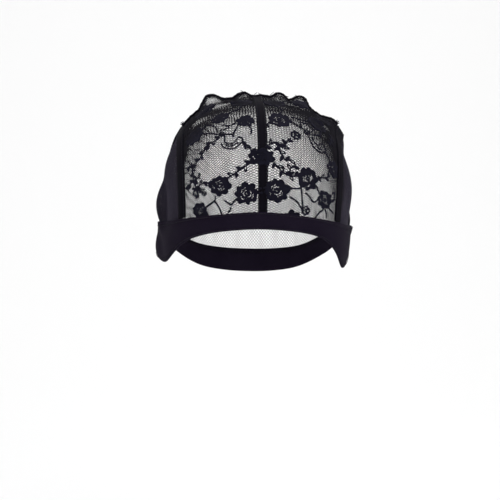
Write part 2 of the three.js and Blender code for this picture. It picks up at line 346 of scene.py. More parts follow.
def make_piece(name, parts, material, uv=None):
    """One smooth mesh object of several (points in millimetres, faces, faces...) parts, which
    rides on the part's one body."""
    points, corners, sizes, base = [], [], [], 0
    for vertices, *face_sets in parts:
        points.append(vertices.reshape(-1, 3))
        for faces in face_sets:
            corners.append((faces + base).ravel())
            sizes.append(np.full(len(faces), faces.shape[1]))
        base += len(points[-1])
    corners, sizes = np.concatenate(corners), np.concatenate(sizes)
    mesh = bpy.data.meshes.new(name)
    mesh.vertices.add(base)
    mesh.vertices.foreach_set("co", (np.concatenate(points) / 1000).ravel())
    mesh.loops.add(len(corners))
    mesh.loops.foreach_set("vertex_index", corners.astype(np.int32))
    mesh.polygons.add(len(sizes))
    mesh.polygons.foreach_set("loop_start", (np.cumsum(sizes) - sizes).astype(np.int32))
    mesh.polygons.foreach_set("use_smooth", np.ones(len(sizes), bool))
    if uv is not None:
        layer = mesh.uv_layers.new(name="cloth")
        layer.data.foreach_set("uv", uv[corners].ravel())
    mesh.update(calc_edges=True)
    mesh.materials.append(material)
    piece = bpy.data.objects.new(name, mesh)
    bpy.context.scene.collection.objects.link(piece)
    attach(piece, "root")
    return piece


# What a material of this cap is made from: a yarn effect that every cloth here shares, and a
# Principled shader with a soft sheen.
def link(tree, from_node, output, to_node, socket):
    tree.links.new(from_node.outputs[output], to_node.inputs[socket])


def add_node(tree, kind, **inputs):
    node = tree.nodes.new(kind)
    for name, value in inputs.items():
        node.inputs[name.replace("_", " ")].default_value = value
    return node


def add_math(tree, operation, a, b=None):
    """A math node. a and b are numbers, or (node, output) pairs."""
    node = tree.nodes.new("ShaderNodeMath")
    node.operation = operation
    for i, value in enumerate((a, b)):
        if isinstance(value, tuple):
            tree.links.new(value[0].outputs[value[1]], node.inputs[i])
        elif value is not None:
            node.inputs[i].default_value = value
    return node


def new_group(name, inputs, outputs):
    tree = bpy.data.node_groups.new(name, "ShaderNodeTree")
    for socket, kind in inputs:
        tree.interface.new_socket(socket, in_out="INPUT", socket_type=kind)
    for socket, kind in outputs:
        tree.interface.new_socket(socket, in_out="OUTPUT", socket_type=kind)
    return tree, tree.nodes.new("NodeGroupInput"), tree.nodes.new("NodeGroupOutput")


FLOAT, COLOUR, VECTOR = "NodeSocketFloat", "NodeSocketColor", "NodeSocketVector"

# dyed yarn: a faint drift of its black, fine fibres, and dust-grey flecks where it is rubbed
yarn_shade, group_in, group_out = new_group(
    "yarn_shade",
    [("Dark", COLOUR), ("Rubbed", COLOUR), ("Fibres per metre", FLOAT), ("Rubbing", FLOAT)],
    [("Colour", COLOUR), ("Roughness", FLOAT), ("Height", FLOAT)],
)
where = add_node(yarn_shade, "ShaderNodeTexCoord")
drift = add_node(yarn_shade, "ShaderNodeTexNoise", Scale=55.0, Detail=3.0)
fibres = add_node(yarn_shade, "ShaderNodeTexNoise", Detail=2.0)
link(yarn_shade, where, "Object", drift, "Vector")
link(yarn_shade, where, "Object", fibres, "Vector")
link(yarn_shade, group_in, "Fibres per metre", fibres, "Scale")
both = add_math(yarn_shade, "MULTIPLY", (drift, "Fac"), (fibres, "Fac"))
rubbed = add_math(yarn_shade, "MULTIPLY", (both, "Value"), (group_in, "Rubbing"))
tone = yarn_shade.nodes.new("ShaderNodeMix")
tone.data_type = "RGBA"
yarn_shade.links.new(rubbed.outputs["Value"], tone.inputs["Factor"])
yarn_shade.links.new(group_in.outputs["Dark"], tone.inputs["A"])
yarn_shade.links.new(group_in.outputs["Rubbed"], tone.inputs["B"])
yarn_shade.links.new(tone.outputs["Result"], group_out.inputs["Colour"])
rough = add_node(yarn_shade, "ShaderNodeMapRange", To_Min=0.58, To_Max=0.86)
link(yarn_shade, fibres, "Fac", rough, "Value")
link(yarn_shade, rough, "Result", group_out, "Roughness")
link(yarn_shade, fibres, "Fac", group_out, "Height")


def cloth_material(name, dark, rubbed_tone, fibres_per_metre, rubbing, sheen, bump_mm):
    """A material of yarn. It returns the material, its tree, its bump node and its yarn node,
    so that a weave can be added to the bump."""
    material = bpy.data.materials.new(name)
    material.use_nodes = True
    tree = material.node_tree
    shader = tree.nodes["Principled BSDF"]
    shader.inputs["Specular IOR Level"].default_value = 0.02
    shader.inputs["Sheen Weight"].default_value = sheen
    shader.inputs["Sheen Roughness"].default_value = 0.45
    shader.inputs["Sheen Tint"].default_value = (0.62, 0.6, 0.74, 1)
    yarn = tree.nodes.new("ShaderNodeGroup")
    yarn.node_tree = yarn_shade
    yarn.inputs["Dark"].default_value = (*dark, 1)
    yarn.inputs["Rubbed"].default_value = (*rubbed_tone, 1)
    yarn.inputs["Fibres per metre"].default_value = fibres_per_metre
    yarn.inputs["Rubbing"].default_value = rubbing
    bump = add_node(tree, "ShaderNodeBump", Strength=0.6, Distance=bump_mm / 1000)
    link(tree, yarn, "Colour", shader, "Base Color")
    link(tree, yarn, "Roughness", shader, "Roughness")
    link(tree, yarn, "Height", bump, "Height")
    link(tree, bump, "Normal", shader, "Normal")
    return material, tree, bump, yarn


net_yarn = cloth_material(
    "net_yarn", (0.006, 0.0055, 0.0075), (0.03, 0.028, 0.036), 2600.0, 0.5, 0.05, 0.03
)[0]
flower_yarn = cloth_material(
    "flower_yarn", (0.0055, 0.0052, 0.0105), (0.032, 0.032, 0.052), 1400.0, 0.5, 0.06, 0.12
)[0]

# The net ground: threads that run up the lace in zigzags and meet their neighbours.
LACE_NET_WALES = 35
LACE_NET_COURSES = 82
LACE_NET_THREAD = 0.57
NET_LIFT = 0.5
# a stretched net is uneven: its meshes stray by this share of a mesh, in waves of so many meshes
NET_STRAY = 0.2
NET_WANDER = 9.0
# It is thin over the crown and most of all over the two tallest gathers, and dense over the
# wearer's right ear. Each row is alpha and beta in degrees, how far round that reaches in
# millimetres, and the share of its thickness that a thread loses there.
THIN_PLACES = [
    (95, 0, 48, 0.66),
    (82, -23.5, 13, 0.5),
    (84, 20.5, 10, 0.4),
    (14, -80, 28, -0.6),
]


def thinned(d):
    kept = np.ones(d.shape[:-1])
    for alpha, beta, reach, lost in THIN_PLACES:
        away = (d - heading(math.radians(alpha), math.radians(beta))) * FORM_CROWN / reach
        kept -= lost * np.exp(-np.sum(away**2, -1))
    return kept


def knitted_net(at, wales, courses, thread, lift, flat=0.6, stray=NET_STRAY, layer=None):
    """Zigzag threads over a patch of directions, each meeting the next at every other turn.
    layer gives where up the patch the threads of a part layer lie, and their thickness there."""
    wale, turn = np.meshgrid(np.arange(wales), np.arange(2 * courses + 1), indexing="ij")
    across = wale + np.where((wale + turn) % 2, 0.97, 0.03)
    along = turn / 2.0
    wave = 2 * math.pi / NET_WANDER
    aside = np.sin(wave * (across + 0.4 * along)) + np.sin(wave * (0.7 * along - 0.6 * across))
    onward = np.sin(wave * (along - 0.5 * across)) + np.cos(wave * (0.8 * across + 0.3 * along))
    u, v = across / wales, along / courses
    u = u + stray * aside / wales * np.sin(math.pi * u)
    v = v + stray * onward / courses * np.sin(math.pi * v)
    wide = np.full(u.shape, thread)
    if layer:
        v, share = layer(u, v)
        wide *= share
    d = gathered(at(u, v))
    return closed_tubes(cloth(d, lift), d, wide * thinned(d), flat=flat)


# Below the crown seam the lace's slack lies doubled, in a second layer over the first.
SLACK_WALES = 84
SLACK_COURSES = 66
SLACK_LIFT = NET_LIFT + 0.55
SLACK_THREAD = 0.27
SLACK_FADE = 0.4


def slack_layer(side):
    """The slack begins thin, bunches in soft folds that run aslant, and thins out to the seam."""

    def at(u, v):
        up = between(0.57 - 0.1 * u + 0.02 * np.sin(9 * u), 1.0, v)
        folds = 0.58 + 0.44 * np.sin(46 * up + side * (1 + 7 * u) + 1.6 * np.sin(8 * u))
        return up, np.clip(v / SLACK_FADE, 0.12, 1) * (1 - 0.35 * v**2) * folds

    return at


# The charted flower work. Places are in millimetres over the cloth, across from the centre
# seam (the wearer's left is positive) and up from the level of the origin.
# across, up, radius, height as a share of width, turn in degrees, which of the slits
FLOWERS = [
    (-30.4, 30.6, 9.4, 0.9, 20, 0),
    (-11.4, 24.5, 9.7, 0.85, 75, 1),
    (-47.6, 12.1, 8.5, 0.95, 140, 2),
    (-1.6, 48.8, 9.9, 0.68, 10, 0),
    (-11.8, 79.4, 6.9, 1.0, 50, 1),
    (-50.6, 81.6, 9.6, 1.0, 0, 2),
    (-29.8, 88.9, 7.4, 1.0, 95, 0),
    (-14.0, 112.0, 9.6, 1.0, 30, 1),
    (-42.0, 114.0, 9.6, 1.0, 60, 2),
    (9.0, 26.8, 10.2, 0.94, 35, 0),
    (31.4, 37.6, 9.8, 1.0, 110, 3),
    (49.0, 23.7, 9.0, 1.0, 15, 3),
    (11.3, 81.8, 9.6, 1.0, 65, 3),
    (57.0, 54.4, 9.2, 1.0, 25, 3),
    (41.3, 93.2, 9.9, 1.0, 80, 2),
    (20.5, 6.4, 8.2, 1.0, 22, 0),
    (9.5, 111.0, 9.6, 1.0, 0, 1),
    (28.5, 121.0, 9.6, 1.0, 40, 2),
    (49.0, 120.0, 9.2, 1.0, 70, 0),
]
# across, up, radius, turn
BUDS = [
    (21.8, 68.9, 4.4, 0),
    (30.8, 75.3, 3.3, 40),
    (-39.2, 62.6, 2.8, 30),
    (-28.2, 70.2, 2.6, 10),
    (31.3, 14.0, 4.4, 60),
    (-59.3, 33.8, 3.0, 20),
    (-42.8, 25.8, 2.4, 50),
]
FLOWER_SPOKES, FLOWER_RINGS = 72, 16
FLOWER_PETALS = 8
FLOWER_EYE = 0.06
FLOWER_THICKNESS = 0.7
# ways of placing the open slits round the eye: from and to ring, from and to degree
FLOWER_SLITS = [
    [(4, 5, 200, 330), (4, 5, 20, 150), (7, 8, 60, 125), (7, 8, 245, 310), (9, 10, 150, 190)],
    [(3, 4, 20, 165), (5, 6, 195, 330), (7, 8, 25, 95), (8, 9, 130, 175), (9, 10, 230, 280)],
    [(3, 4, 25, 310), (6, 7, 125, 200), (6, 7, 320, 385), (8, 9, 40, 90), (9, 10, 230, 275)],
    [(3, 5, 20, 160), (3, 5, 200, 340), (6, 8, 60, 110), (6, 8, 250, 300), (9, 11, 150, 185)],
]
BUD_SLITS = [(5, 9, 20, 95), (5, 9, 140, 215), (5, 9, 260, 335)]

# stems as short runs of places; leaves grow from both sides of the leafy ones
LEAFY_STEMS = [
    [(-8.4, 45.3), (-14.3, 41.7), (-21.1, 37.2), (-24.2, 35.6)],
    [(-8.1, 51.5), (-9.4, 56.8), (-12.7, 57.7)],
    [(-29.2, 67.6), (-35.2, 65.4), (-40.0, 63.4), (-43.3, 58.8), (-46.3, 55.3), (-50.7, 53.0)],
    [(-50.7, 53.0), (-53.4, 49.3), (-52.5, 42.4), (-52.9, 38.1), (-50.2, 31.4), (-48.0, 22.6)],
    [(-53.3, 50.3), (-57.2, 53.2), (-59.3, 51.0)],
    [(-50.2, 31.4), (-45.3, 33.8), (-41.5, 34.6), (-38.0, 32.3)],
    [(-50.2, 31.4), (-52.4, 29.2), (-54.0, 25.5)],
    [(-50.0, 31.4), (-46.5, 28.3), (-43.3, 26.0)],
    [(-52.7, 38.9), (-48.8, 39.2), (-46.2, 39.7)],
    [(-52.9, 38.1), (-56.2, 36.8), (-59.1, 34.6)],
    [(0.8, 55.7), (4.1, 58.4), (8.9, 60.3), (10.4, 58.0), (13.0, 57.0), (16.0, 63.1), (18.4, 65.2)],
    [(10.4, 57.5), (10.4, 54.3), (12.5, 50.5), (14.6, 47.9), (18.9, 48.9)],
    [(6.5, 46.0), (9.1, 42.8), (12.9, 39.3), (17.2, 37.5), (24.1, 38.0)],
    [(17.2, 37.5), (18.2, 42.9), (21.3, 45.0)],
    [(39.5, 41.1), (46.1, 41.7), (53.5, 46.4)],
    [(60.3, 34.0), (60.2, 24.6)],
    [(55.3, 94.3), (54.6, 84.7), (51.8, 76.1)],
]
BARE_STEMS = [
    [(-9.2, 73.6), (-8.0, 69.6), (-8.7, 65.7)],
    [(-17.2, 74.4), (-19.0, 70.1), (-20.2, 67.2), (-19.7, 65.0)],
    [(-28.5, 70.5), (-25.0, 69.1), (-20.2, 67.9)],
    [(-26.5, 70.3), (-26.0, 66.5), (-26.1, 62.3)],
    [(-18.2, 61.9), (-17.2, 64.1), (-15.2, 64.3), (-13.9, 62.1), (-14.3, 60.2), (-12.7, 57.7)],
    [(-12.7, 57.7), (-11.7, 54.3)],
    [(-42.5, 77.4), (-38.8, 76.0), (-32.2, 71.5), (-29.2, 70.3)],
    [(-41.8, 85.4), (-38.5, 85.3), (-33.4, 80.0), (-31.1, 73.0)],
    [(-30.0, 73.0), (-28.2, 74.3), (-26.4, 73.6), (-22.2, 75.2)],
    [(-28.6, 79.5), (-26.4, 78.8), (-24.3, 76.4), (-22.6, 76.7), (-18.0, 78.5)],
    [(-34.0, 23.6), (-34.5, 19.4), (-38.2, 17.0), (-41.5, 15.3)],
    [(-34.5, 19.4), (-31.6, 15.3), (-29.1, 10.0)],
    [(-27.3, 20.1), (-24.5, 18.1), (-22.1, 16.5), (-20.5, 18.8), (-17.6, 21.6)],
    [(-24.5, 10.5), (-22.0, 14.6)],
    [(-4.7, 27.5), (-0.4, 28.0), (2.8, 28.4)],
    [(-4.6, 24.6), (-0.4, 25.0), (3.6, 26.6)],
    [(16.9, 28.8), (21.2, 29.1), (25.4, 29.6), (26.3, 32.0)],
    [(17.9, 23.5), (23.0, 20.8), (26.2, 17.4), (28.6, 14.6)],
    [(26.3, 31.8), (27.5, 23.8), (28.9, 14.7)],
    [(39.0, 34.3), (42.2, 27.7)],
    [(29.9, 26.9), (34.4, 23.7), (37.6, 20.6), (43.0, 24.2)],
    [(48.5, 16.0), (43.6, 12.6), (40.0, 8.3)],
    [(49.8, 16.6), (52.3, 8.3)],
    [(53.6, 17.3), (60.9, 12.0)],
    [(13.2, 43.9), (12.9, 39.3)],
    [(4.5, 78.6), (2.9, 75.8), (2.9, 73.3), (3.9, 73.4)],
    [(18.2, 81.1), (20.3, 80.4), (26.7, 77.4), (28.9, 76.7)],
    [(25.8, 86.0), (28.0, 83.9), (30.9, 85.8), (34.2, 83.1), (35.2, 81.4)],
    [(26.1, 85.3), (26.2, 80.7), (27.3, 77.8)],
    [(33.7, 77.0), (35.6, 80.2), (38.0, 83.9), (42.4, 86.3)],
    [(42.4, 86.3), (43.4, 84.2), (41.6, 79.5), (37.3, 76.3), (34.4, 75.1)],
    [(42.1, 79.9), (42.4, 75.7)],
    [(42.8, 62.2), (46.2, 64.7), (46.7, 69.0), (44.6, 71.2)],
    [(46.2, 64.7), (48.7, 63.0), (51.5, 60.2), (55.2, 57.0)],
    [(19.6, 87.7), (27.8, 87.7), (33.9, 90.6)],
    [(-14.0, 104.0), (-17.0, 96.0), (-24.0, 92.0)],
    [(10.0, 103.0), (14.0, 96.0), (12.0, 90.0)],
    [(41.0, 101.0), (44.0, 108.0), (46.0, 113.0)],
]
# hanging swags: an outer line, and finer lines inside it with ties to the first of them
SWAGS = [
    [
        [(-28.5, 62.6), (-27.2, 58.9), (-24.4, 57.1), (-21.0, 56.1), (-17.9, 57.1), (-14.3, 60.5)],
        [(-26.4, 61.1), (-24.4, 59.4), (-22.3, 58.5), (-18.9, 59.2), (-16.6, 60.8)],
        [(-26.1, 62.9), (-24.3, 60.8), (-22.3, 60.1), (-20.3, 60.4), (-18.2, 61.9)],
    ],
    [
        [(31.5, 71.7), (33.1, 67.7), (35.3, 63.8), (38.7, 62.1), (42.8, 62.2)],
        [(34.7, 73.4), (35.9, 69.2), (38.8, 67.2), (42.1, 70.2), (44.6, 71.2)],
        [(37.3, 65.3), (39.4, 65.0), (41.2, 64.7), (43.9, 66.4)],
    ],
]
STEM_RADIUS = 0.72
STEM_STEP = 0.9
SWAG_LINE, SWAG_TIE, SWAG_TIES = 0.62, 0.26, 6
LEAF_LENGTH, LEAF_WIDTH, LEAF_STEP = 4.4, 2.7, 3.6
WORK_LIFT = NET_LIFT + 0.1
# The work goes on over the centre tape: it rises so far, between these distances from the seam.
# It stops a little way under the other tapes.
WORK_RISE, RISE_END, RISE_START = 0.87, 2.9, 4.4
WORK_INSET_SIDE = 4.2 / FORM_CROWN
WORK_INSET_CROWN = 2.6 / FORM_CROWN


def on_lace(across, up):
    return heading(up / FORM_CROWN, across / FORM_CROWN)


def work_lift(across, up):
    """How far off the cloth's inner face the work lies at these places."""
    off_seam = np.abs(across - centre_seam(up / FORM_CROWN) * FORM_CROWN)
    return WORK_LIFT + WORK_RISE * bell((off_seam - RISE_END).clip(0) / (RISE_START - RISE_END))


def inside_half(across, up, side):
    """Whether places lie on one half of the lace, clear of the tapes at its other edges."""
    beta, alpha = across / FORM_CROWN, up / FORM_CROWN
    low = brow_alpha(np.clip(np.abs(beta), 0, 0.9) * side, -1.0)
    out = side_seam(np.clip(alpha, -0.1, 3)) - WORK_INSET_SIDE
    clear = (side * (beta - centre_seam(alpha)) > 0) & (np.abs(beta) < out)
    return clear & (alpha > low) & (alpha < CROWN_SEAM - WORK_INSET_CROWN)


def smooth_run(places, step):
    """A smooth line through a few places, as points about one step apart."""
    p = np.array(places, float)
    p = np.concatenate([[2 * p[0] - p[1]], p, [2 * p[-1] - p[-2]]])
    line = []
    for a, b, c, d in zip(p, p[1:], p[2:], p[3:]):
        count = max(2, int(round(np.linalg.norm(c - b) / step)))
        t = (np.arange(count) / count)[:, None]
        line.append(
            b + 0.5 * t * (c - a + t * (2 * a - 5 * b + 4 * c - d + t * (3 * (b - c) + d - a)))
        )
    return np.concatenate([*line, p[-2:-1]])


def yarn_line(places, radius, side):
    """Flattened tubes along the stretches of a line that lie on one half of the lace."""
    keep = inside_half(places[:, 0], places[:, 1], side)
    cuts = np.flatnonzero(np.diff(keep.astype(int))) + 1
    parts = []
    for run, kept in zip(np.split(places, cuts), np.split(keep, cuts)):
        if kept[0] and len(run) > 2:
            d = on_lace(run[:, 0], run[:, 1])[None]
            wide = radius * (1 + 0.25 * np.cos(np.arange(len(run)) * math.pi))[None]
            wide[:, (0, -1)] *= 0.5
            lift = work_lift(run[:, 0], run[:, 1]) + 0.2
            parts.append(closed_tubes(cloth(d, lift[None]), d, wide, 6, 0.6))
    return parts


def join_corners(filled):
    """Fills in a cell where two cells of a flower would meet only at a corner."""
    after = np.roll(filled, -1, 1)
    filled[1:] |= filled[:-1] & after[1:] & ~after[:-1]
    after = np.roll(filled, -1, 1)
    filled[:-1] |= filled[1:] & after[:-1] & ~after[1:]


def worked_flower(across, up, radius, tall, turn, side, slits):
    """A flower of close work: uneven petals with a raised edge, and open slits round its eye."""
    uneven = np.random.default_rng(int(turn + 7 * abs(across)))
    step = 2 * math.pi / FLOWER_PETALS
    notches = (np.arange(FLOWER_PETALS) + uneven.uniform(-0.22, 0.22, FLOWER_PETALS)) * step
    reach = uneven.uniform(0.82, 1.0, FLOWER_PETALS)
    theta = np.arange(FLOWER_SPOKES) * 2 * math.pi / FLOWER_SPOKES
    petal = (np.searchsorted(notches, theta) - 1) % FLOWER_PETALS
    width = (notches[(petal + 1) % FLOWER_PETALS] - notches[petal]) % (2 * math.pi)
    through = (theta - notches[petal]) % (2 * math.pi) / width
    lobe = 1 - np.abs(2 * through - 1) ** 1.5
    outline = radius * between(0.72, reach[petal], lobe)
    share = np.linspace(FLOWER_EYE, 1, FLOWER_RINGS + 1)[:, None]
    around = theta + math.radians(turn)
    a = across + share * outline * np.cos(around)
    h = up + share * outline * np.sin(around) * tall
    d = on_lace(a, h)
    rim = np.exp(-(((share - 0.92) / 0.1) ** 2))
    crease = (1 - lobe) * np.clip(share * 1.6 - 0.4, 0, 1)
    ribs = 0.12 * np.cos(through * 6 * math.pi) * share
    height = FLOWER_THICKNESS * (0.62 + 0.38 * rim - 0.35 * crease + ribs)
    filled = np.ones((FLOWER_RINGS, FLOWER_SPOKES), bool)
    for ring, to_ring, start, end in slits:
        spokes = np.arange(start, end, 360 / FLOWER_SPOKES) * FLOWER_SPOKES / 360
        filled[ring:to_ring, np.round(spokes).astype(int) % FLOWER_SPOKES] = False
    mid_a = (a[:-1] + a[1:]) / 2
    mid_h = (h[:-1] + h[1:]) / 2
    filled &= inside_half(mid_a, mid_h, side)
    join_corners(filled)
    if not filled.any():
        return []
    lift = work_lift(a, h)
    return [cell_slab(cloth(d, lift + height), cloth(d, lift - 0.15), filled, True)]


def worked_leaf(across, up, turn, side, is_open):
    """A pointed leaf with a raised middle, or an open one, growing from its place."""
    t = np.linspace(0, 1, 8)[:, None]
    s = np.array((-0.5, -0.16, 0.16, 0.5))[None]
    wide = LEAF_WIDTH * (2.1 * t**0.5 * (1 - t) ** 0.9 + 0.1)
    x, y = t * LEAF_LENGTH, s * wide
    a = across + x * math.cos(turn) - y * math.sin(turn)
    h = up + x * math.sin(turn) + y * math.cos(turn)
    if not inside_half(a, h, side).all():
        return []
    d = on_lace(a, h)
    crown = 0.3 + 0.3 * np.cos(s * math.pi) + 0 * t
    filled = np.ones((7, 3), bool)
    filled[1:4, 1] = not is_open
    lift = work_lift(a, h)
    return [cell_slab(cloth(d, lift + crown), cloth(d, lift - 0.1), filled)]


def flower_work(side):
    """All the close work on one half of the lace."""
    parts = []
    for *flower, slits in FLOWERS:
        parts += worked_flower(*flower, side, FLOWER_SLITS[slits])
    for across, up, radius, turn in BUDS:
        parts += worked_flower(across, up, radius, 1.0, turn, side, BUD_SLITS)
    for stem in LEAFY_STEMS + BARE_STEMS:
        parts += yarn_line(smooth_run(stem, STEM_STEP), STEM_RADIUS, side)
    for stem in LEAFY_STEMS:
        line = smooth_run(stem, STEM_STEP)
        every = round(LEAF_STEP / STEM_STEP)
        for k, i in enumerate(range(1, len(line) - 1, every)):
            ahead = line[i + 1] - line[i]
            lean = 0.95 if k % 2 else -0.95
            turn = math.atan2(ahead[1], ahead[0]) + lean
            parts += worked_leaf(*line[i], turn, side, k % 3 == 1)
    for outer, *inner in SWAGS:
        parts += yarn_line(smooth_run(outer, STEM_STEP), STEM_RADIUS, side)
        for line in inner:
            parts += yarn_line(smooth_run(line, STEM_STEP), SWAG_LINE, side)
        ends = [smooth_run(line, STEM_STEP) for line in (outer, inner[0])]
        for t in np.linspace(0.08, 0.92, SWAG_TIES):
            near, far = (line[int(t * (len(line) - 1))] for line in ends)
            tie = between(near, far, np.linspace(0, 1, 4)[:, None])
            parts += yarn_line(tie, SWAG_TIE, side)
    return parts


for name, side in (("right", -1), ("left", 1)):
    ground = make_piece(
        "lace_net_" + name,
        [
            knitted_net(
                lace_half(side), LACE_NET_WALES, LACE_NET_COURSES, LACE_NET_THREAD, NET_LIFT
            ),
            knitted_net(
                lace_half(side),
                SLACK_WALES,
                SLACK_COURSES,
                SLACK_THREAD,
                SLACK_LIFT,
                layer=slack_layer(side),
            ),
        ],
        net_yarn,
    )
    flowers = make_piece("lace_flowers_" + name, flower_work(side), flower_yarn)
    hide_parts("front_lace_" + name)

# THE SIDE PANELS
# Dense black stretch net over each ear, knitted so closely that little light comes through.
# It is sewn under the bands below and under the side tape above.
SIDE_NET_WALES = 190
SIDE_NET_COURSES = 56
SIDE_NET_THREAD = 0.32
SIDE_NET_FLATNESS = 0.5
SIDE_NET_STRAY = 0.05


def nape_alpha(beta, above):
    return band_alpha(beta, above, math.radians(240), math.radians(110))


NAPE_SEAM = side_seam(math.radians(200))


def ear_side(side):
    """Directions over one side panel: u along its seam to the back, v up from the band."""

    def seam(u, above):
        front = brow_alpha(side_seam(0.0), above)
        nape = nape_alpha(NAPE_SEAM, above)
        alpha = between(front, nape, u)
        return heading(alpha, side_seam(alpha) + HALF_BUTT)

    ends = azimuth_of(seam(np.array([0.0, 1.0]), -SEAM_LAP))

    def at(u, v):
        azimuth = between(*ends, u)
        low = form_point(rim_heading(azimuth, band_top(azimuth) - SEAM_LAP))
        point = unit(between(low, form_point(seam(u, 0)), np.asarray(v)[..., None]))
        return point * (side, 1, 1)

    return at


side_yarn = cloth_material(
    "side_yarn", (0.0135, 0.0102, 0.0195), (0.05, 0.042, 0.068), 2600.0, 0.5, 0.08, 0.03
)[0]
for name, side in (("right", -1), ("left", 1)):
    panel = make_piece(
        "side_net_" + name,
        [
            knitted_net(
                ear_side(side),
                SIDE_NET_WALES,
                SIDE_NET_COURSES,
                SIDE_NET_THREAD,
                NET_LIFT,
                SIDE_NET_FLATNESS,
                SIDE_NET_STRAY,
            )
        ],
        side_yarn,
    )
    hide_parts("side_panel_" + name)

# THE BACK PANEL
# Plain open net over the back of the cap, gathered into the crown seam and sewn under the
# nape band. It has no flower work, so the front shows through it.
BACK_NET_WALES = 190
BACK_NET_COURSES = 66
BACK_NET_THREAD = 0.2


def back_half(u, v):
    seam_nape = NAPE_SEAM - HALF_BUTT
    nape = nape_alpha(between(-seam_nape, seam_nape, u), -SEAM_LAP)
    alpha = between(CROWN_SEAM + HALF_BUTT, nape, v)
    edge = side_seam(alpha) - HALF_BUTT
    return heading(alpha, between(-edge, edge, u))


back = make_piece(
    "back_net",
    [knitted_net(back_half, BACK_NET_WALES, BACK_NET_COURSES, BACK_NET_THREAD, NET_LIFT)],
    net_yarn,
)
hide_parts("back_panel")

# THE TAPES
# Narrow woven tape is sewn over the centre seam of the lace, over both side seams and over the
# gathered crown seam, with a row of stitches along each edge.
CENTRE_TAPE_WIDTH = 6.5
SIDE_TAPE_WIDTH = 10.0
CROWN_TAPE_WIDTH = 7.0
TAPE_INNER = 0.7
SIDE_TAPE_HALF = SIDE_TAPE_WIDTH / 2 / FORM_CROWN
CROWN_TAPE_HALF = CROWN_TAPE_WIDTH / 2 / FORM_CROWN

# a ribbed weave or knit: ribs along the piece, crossed by the turns of the yarn
ribbed_weave, group_in, group_out = new_group(
    "ribbed_weave",
    [("Place", VECTOR), ("Rib pitch", FLOAT), ("Yarn pitch", FLOAT)],
    [("Height", FLOAT), ("Groove", FLOAT)],
)
parts_of_place = add_node(ribbed_weave, "ShaderNodeSeparateXYZ")
link(ribbed_weave, group_in, "Place", parts_of_place, "Vector")
waves = []
for axis, pitch in (("Y", "Rib pitch"), ("X", "Yarn pitch")):
    turns = add_math(ribbed_weave, "DIVIDE", (parts_of_place, axis), (group_in, pitch))
    angle = add_math(ribbed_weave, "MULTIPLY", (turns, "Value"), math.pi)
    wave = add_math(ribbed_weave, "SINE", (angle, "Value"))
    waves.append(add_math(ribbed_weave, "ABSOLUTE", (wave, "Value")))
crossing = add_math(ribbed_weave, "MULTIPLY", (waves[1], "Value"), 0.45)
raised = add_math(ribbed_weave, "ADD", (waves[0], "Value"), (crossing, "Value"))
link(ribbed_weave, raised, "Value", group_out, "Height")
groove = add_math(ribbed_weave, "SUBTRACT", 1.0, (waves[0], "Value"))
link(ribbed_weave, groove, "Value", group_out, "Groove")


def add_weave(tree, bump, yarn, rib_mm, yarn_mm):
    """Puts the ribbed weave, on the piece's own along and across, into a cloth material."""
    place = tree.nodes.new("ShaderNodeUVMap")
    place.uv_map = "cloth"
    weave = tree.nodes.new("ShaderNodeGroup")
    weave.node_tree = ribbed_weave
    weave.inputs["Rib pitch"].default_value = rib_mm / 1000
    weave.inputs["Yarn pitch"].default_value = yarn_mm / 1000
    link(tree, place, "UV", weave, "Place")
    fuzz = add_math(tree, "MULTIPLY", (yarn, "Height"), 0.4)
    height = add_math(tree, "ADD", (weave, "Height"), (fuzz, "Value"))
    link(tree, height, "Value", bump, "Height")


tape_weave, tape_tree, tape_bump, tape_yarn = cloth_material(
    "tape_weave", (0.0038, 0.0033, 0.0056), (0.018, 0.016, 0.024), 1800.0, 0.4, 0.006, 0.12
)
add_weave(tape_tree, tape_bump, tape_yarn, 0.9, 0.7)
stitch_yarn = cloth_material(
    "stitch_yarn", (0.01, 0.0095, 0.013), (0.045, 0.043, 0.055), 3000.0, 0.5, 0.08, 0.03
)[0]


def soft_strip(at, columns, rows, inner, thickness):
    """A closed strip of cloth with rounded edges: u runs along it and v across. It returns its
    part for make_piece and its flat coordinates in metres."""
    u, v = np.meshgrid(
        np.linspace(0, 1, columns + 1), np.linspace(0, 1, rows + 1), indexing="ij"
    )
    v = 0.5 - 0.5 * np.cos(math.pi * v)
    d = at(u, v)
    rounded = (1 - np.abs(2 * v - 1) ** 3) ** 0.5
    outer = cloth(d, inner + thickness * (0.25 + 0.75 * rounded))
    lower = cloth(d, inner + thickness * 0.15 * (1 - rounded))
    along = np.zeros(u.shape)
    along[1:] = np.cumsum(np.linalg.norm(np.diff(outer, axis=0), axis=-1), axis=0)
    along = np.broadcast_to(along[:, rows // 2 : rows // 2 + 1], u.shape)
    across = np.zeros(u.shape)
    across[:, 1:] = np.cumsum(np.linalg.norm(np.diff(outer, axis=1), axis=-1), axis=1)
    flat = np.stack([along, across], -1).reshape(-1, 2) / 1000
    slab = cell_slab(outer, lower, np.ones((columns, rows), bool))
    return slab, np.concatenate([flat, flat])


def stitch_row(at, v, count, length, lift, radius=0.22, start=0.01, end=0.99):
    """A row of single stitches at v across a strip. length is a stitch as a share of the
    strip, and each dips into the cloth at both ends."""
    middle = np.linspace(start, end, count)[:, None]
    t = np.linspace(-0.5, 0.5, 6)[None]
    u = np.clip(middle + t * length, 0, 1)
    d = at(u, np.full(u.shape, v))
    rise = 0.28 * np.cos(t * math.pi) - 0.14
    return closed_tubes(cloth(d, lift + rise + 0 * u), d, radius, 5)


def brow_seam(u, v):
    half_width = CENTRE_TAPE_WIDTH / 2 / FORM_CROWN
    aside = between(-half_width, half_width, v)
    end = CROWN_SEAM - CROWN_TAPE_HALF - 2 * HALF_BUTT
    alpha = between(brow_alpha(aside, -3.0), end, u)
    return heading(alpha, centre_seam(alpha) + aside)


